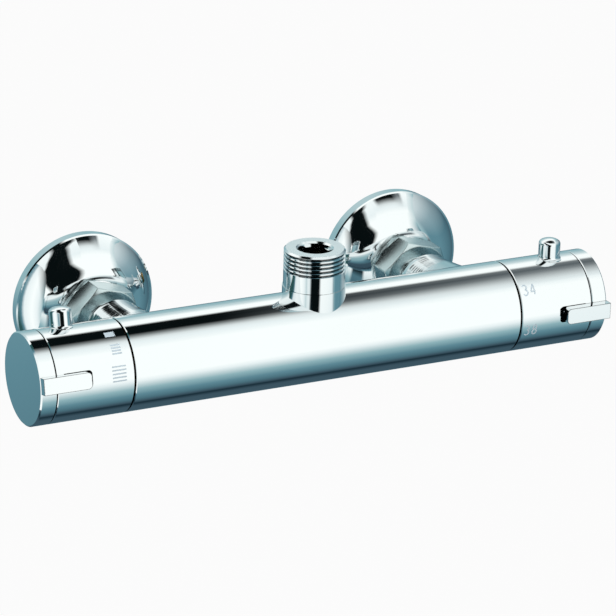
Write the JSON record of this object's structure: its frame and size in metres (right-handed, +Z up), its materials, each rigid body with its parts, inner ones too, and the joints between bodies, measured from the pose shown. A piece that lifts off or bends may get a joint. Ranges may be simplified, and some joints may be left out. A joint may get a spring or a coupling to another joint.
{
  "type": "thermostatic shower valve",
  "caption": "Wall-mounted thermostatic shower valve: chromed bar with a flow knob and a temperature knob at its ends, a threaded outlet on top and wall unions behind.",
  "frame": {"origin": "on the finished wall, midway between the axes of the two wall connectors", "axes": "+X along the bar towards the temperature knob, +Y into the wall, +Z up"},
  "size_m": [0.267, 0.1207, 0.0717],
  "materials": {
    "chrome": "polished chrome plate on brass",
    "brass": "machined brass",
    "steel": "plain stainless steel",
    "rubber": "moulded black rubber",
    "white_plastic": "moulded white plastic",
    "grey_plastic": "moulded grey plastic",
    "ceramic": "lapped ceramic",
    "wax_copper": "drawn copper"
  },
  "bodies": {
    "valve": {"valve_body": "chrome", "outlet_nipple": "chrome", "outlet_oring": "rubber", "mixing_tube": "white_plastic", "thermo_housing": "grey_plastic", "thermo_housing_orings": "rubber", "thermo_bonnet": "brass", "temperature_stop_ring": "grey_plastic", "return_spring": "steel", "flow_housing": "grey_plastic", "flow_housing_orings": "rubber", "disc_seal": "rubber", "fixed_disc": "ceramic", "flow_bonnet": "brass", "flow_stop_ring": "grey_plastic", "hot_inlet_tail": "chrome", "cold_inlet_tail": "chrome", "hot_union_nut": "chrome", "cold_union_nut": "chrome", "union_washers": "rubber", "hot_wall_connector": "brass", "cold_wall_connector": "brass", "hot_wall_flange": "chrome", "cold_wall_flange": "chrome", "inlet_strainers": "steel", "hot_check_body": "white_plastic", "cold_check_body": "white_plastic", "check_valve_orings": "rubber", "hot_check_spring": "steel", "cold_check_spring": "steel"},
    "temperature_control": {"temperature_spindle": "brass", "temperature_spindle_oring": "rubber", "temperature_spindle_clip": "steel", "temperature_insert": "grey_plastic", "temperature_screw": "steel", "temperature_knob": "chrome", "temperature_cap": "chrome", "temperature_pin": "chrome", "safety_button_spring": "steel"},
    "safety_slide": {"safety_button": "chrome"},
    "adjuster": {"adjusting_cup": "brass", "thrust_pad": "steel", "overtravel_spring": "steel"},
    "thermostat": {"shuttle": "brass", "wax_element": "wax_copper", "wax_piston": "steel"},
    "flow_control": {"moving_disc": "ceramic", "flow_spindle": "brass", "flow_spindle_oring": "rubber", "flow_spindle_clip": "steel", "flow_insert": "grey_plastic", "flow_screw": "steel", "flow_knob": "chrome", "flow_cap": "chrome", "flow_pin": "chrome", "eco_button_spring": "steel"},
    "eco_slide": {"eco_button": "chrome"},
    "hot_poppet": {"hot_check_poppet": "white_plastic"},
    "cold_poppet": {"cold_check_poppet": "white_plastic"}
  },
  "joints": [
    {"name": "temperature_turn", "type": "hinge", "parent": "valve", "child": "temperature_control", "pos_m": [0, -0.077, 0], "axis": [-1, 0, 0], "range_deg": [-120, 180]},
    {"name": "adjuster_travel", "type": "slide", "parent": "valve", "child": "adjuster", "axis": [1, 0, 0], "range_m": [-0.0014, 0.0021]},
    {"name": "thermostat_travel", "type": "slide", "parent": "valve", "child": "thermostat", "axis": [1, 0, 0], "range_m": [-0.0014, 0.0021], "deforming": ["return_spring"]},
    {"name": "flow_turn", "type": "hinge", "parent": "valve", "child": "flow_control", "pos_m": [0, -0.077, 0], "axis": [-1, 0, 0], "range_deg": [0, 90]},
    {"name": "safety_button_press", "type": "slide", "parent": "temperature_control", "child": "safety_slide", "axis": [-1, 0, 0], "range_m": [0, 0.0015], "stiffness_N_per_m": 400, "springref_m": -0.002, "deforming": ["safety_button_spring"]},
    {"name": "eco_button_press", "type": "slide", "parent": "flow_control", "child": "eco_slide", "axis": [1, 0, 0], "range_m": [0, 0.0015], "stiffness_N_per_m": 400, "springref_m": -0.002, "deforming": ["eco_button_spring"]},
    {"name": "hot_poppet_lift", "type": "slide", "parent": "valve", "child": "hot_poppet", "axis": [0, -1, 0], "range_m": [0, 0.003], "stiffness_N_per_m": 60, "springref_m": -0.003, "deforming": ["hot_check_spring"]},
    {"name": "cold_poppet_lift", "type": "slide", "parent": "valve", "child": "cold_poppet", "axis": [0, -1, 0], "range_m": [0, 0.003], "stiffness_N_per_m": 60, "springref_m": -0.003, "deforming": ["cold_check_spring"]}
  ],
  "couplings": [
    {"joint": "adjuster_travel", "follows": "temperature_turn", "m_per_rad": 0.00063662},
    {"joint": "thermostat_travel", "follows": "temperature_turn", "m_per_rad": 0.00063662}
  ]
}
